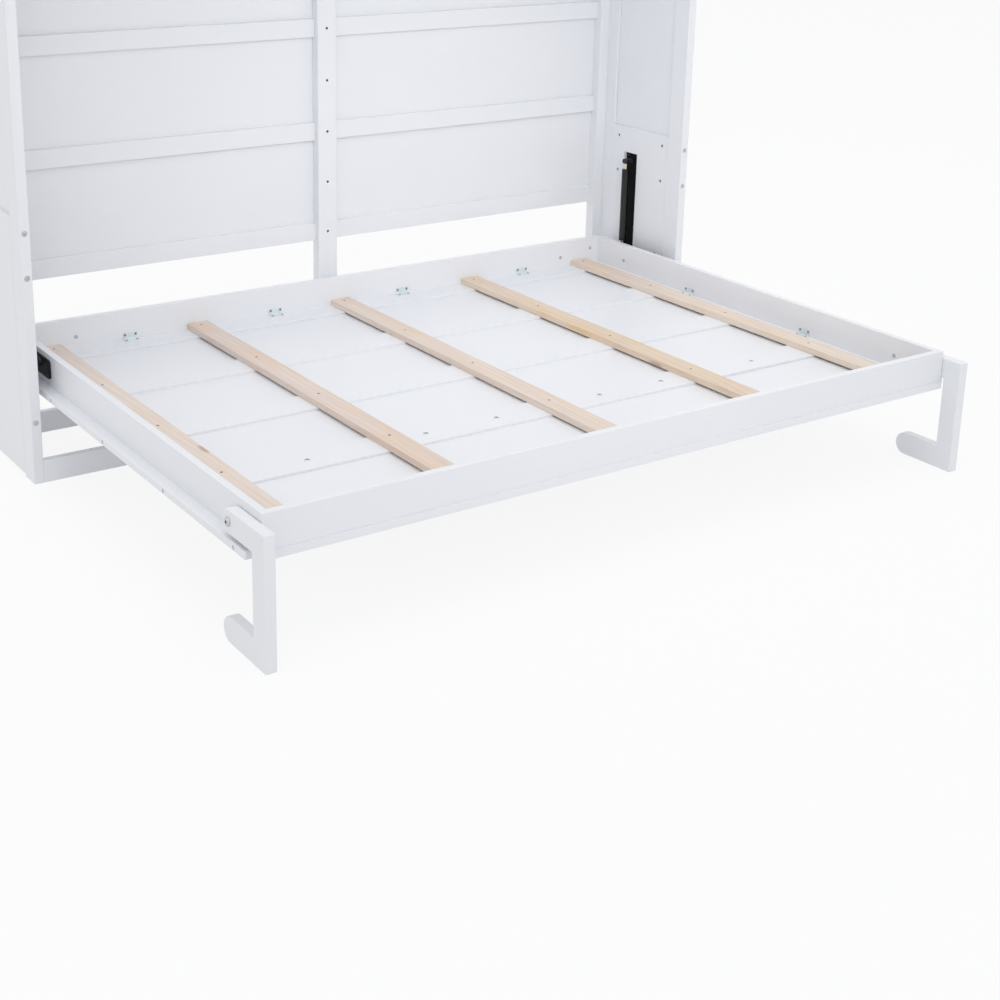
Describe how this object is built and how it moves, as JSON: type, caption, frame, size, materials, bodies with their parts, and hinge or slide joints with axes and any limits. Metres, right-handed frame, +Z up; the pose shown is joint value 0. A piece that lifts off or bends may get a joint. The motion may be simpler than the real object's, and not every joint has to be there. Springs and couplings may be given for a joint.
{
  "type": "wall bed",
  "caption": "White sideways wall bed, folded down: a panelled cabinet, a slatted bed on a frame-and-panel door, C-shaped folding legs and gas struts.",
  "frame": {"origin": "on the floor at the wall, in the middle of the cabinet's width", "axes": "+Z up, +X along the cabinet and the bed, +Y into the wall, so the bed folds down towards -Y"},
  "size_m": [2.126, 1.57, 1.582],
  "materials": {
    "white_lacquer": "satin white lacquer on wood",
    "slat_wood": "bare planed pine",
    "zinc_steel": "bright zinc",
    "black_metal": "black powder coat",
    "brass": "yellow zinc",
    "bright_rod": "ground chrome"
  },
  "bodies": {
    "cabinet": {"back_battens": "white_lacquer", "back_floor_rail": "white_lacquer", "ball_studs": "brass", "barrel_nuts": "zinc_steel", "centre_stile": "white_lacquer", "kick_rail": "white_lacquer", "left_back_panel": "white_lacquer", "left_back_stile": "white_lacquer", "left_end_stile": "white_lacquer", "left_front_stile": "white_lacquer", "left_lower_board": "white_lacquer", "left_side_panel": "white_lacquer", "left_side_top_rail": "white_lacquer", "left_strut_plate": "black_metal", "pivot_bushes": "brass", "right_back_panel": "white_lacquer", "right_back_stile": "white_lacquer", "right_end_stile": "white_lacquer", "right_front_stile": "white_lacquer", "right_lower_board": "white_lacquer", "right_side_panel": "white_lacquer", "right_side_top_rail": "white_lacquer", "right_strut_plate": "black_metal", "side_bolts": "zinc_steel", "top_board": "white_lacquer"},
    "bed": {"angle_brackets": "zinc_steel", "back_rail": "white_lacquer", "door_handles": "black_metal", "door_panels": "white_lacquer", "door_rail_1": "white_lacquer", "door_rail_2": "white_lacquer", "door_rail_3": "white_lacquer", "door_rail_4": "white_lacquer", "door_rail_5": "white_lacquer", "front_rail": "white_lacquer", "handle_bolts": "zinc_steel", "hinge_plates": "black_metal", "left_door_stile": "white_lacquer", "left_side_rail": "white_lacquer", "leg_bolts": "zinc_steel", "leg_washers": "zinc_steel", "pivot_pins": "zinc_steel", "right_door_stile": "white_lacquer", "right_side_rail": "white_lacquer", "slat_1": "slat_wood", "slat_2": "slat_wood", "slat_3": "slat_wood", "slat_4": "slat_wood", "slat_5": "slat_wood", "slat_screws": "zinc_steel"},
    "leg_left": {"left_leg": "white_lacquer"},
    "leg_right": {"right_leg": "white_lacquer"},
    "strut_tube_left": {"left_strut_tube": "black_metal", "left_strut_gland": "black_metal"},
    "strut_rod_left": {"left_strut_rod": "bright_rod", "left_strut_foot": "black_metal"},
    "strut_tube_right": {"right_strut_tube": "black_metal", "right_strut_gland": "black_metal"},
    "strut_rod_right": {"right_strut_rod": "bright_rod", "right_strut_foot": "black_metal"}
  },
  "joints": [
    {"name": "bed_fold", "type": "hinge", "parent": "cabinet", "child": "bed", "pos_m": [0, -0.309, 0.288], "axis": [-1, 0, 0], "range_deg": [0, 90]},
    {"name": "leg_left_fold", "type": "hinge", "parent": "bed", "child": "leg_left", "pos_m": [-0.991, -1.418, 0.273], "axis": [-1, 0, 0], "range_deg": [0, 180]},
    {"name": "strut_left_swing", "type": "hinge", "parent": "cabinet", "child": "strut_tube_left", "pos_m": [-1.018, -0.171, 0.575], "axis": [-1, 0, 0], "range_deg": [0, 20.44]},
    {"name": "strut_left_extend", "type": "slide", "parent": "strut_tube_left", "child": "strut_rod_left", "axis": [0, 0, -1], "range_m": [0, 0.1467]},
    {"name": "leg_right_fold", "type": "hinge", "parent": "bed", "child": "leg_right", "pos_m": [0.991, -1.418, 0.273], "axis": [-1, 0, 0], "range_deg": [0, 180]},
    {"name": "strut_right_swing", "type": "hinge", "parent": "cabinet", "child": "strut_tube_right", "pos_m": [1.018, -0.171, 0.575], "axis": [-1, 0, 0], "range_deg": [0, 20.44]},
    {"name": "strut_right_extend", "type": "slide", "parent": "strut_tube_right", "child": "strut_rod_right", "axis": [0, 0, -1], "range_m": [0, 0.1467]}
  ],
  "couplings": [
    {"joint": "strut_left_swing", "follows": "bed_fold", "ratio": 0.22659},
    {"joint": "strut_left_extend", "follows": "bed_fold", "m_per_rad": 0.093213},
    {"joint": "strut_right_swing", "follows": "bed_fold", "ratio": 0.22659},
    {"joint": "strut_right_extend", "follows": "bed_fold", "m_per_rad": 0.093213}
  ]
}
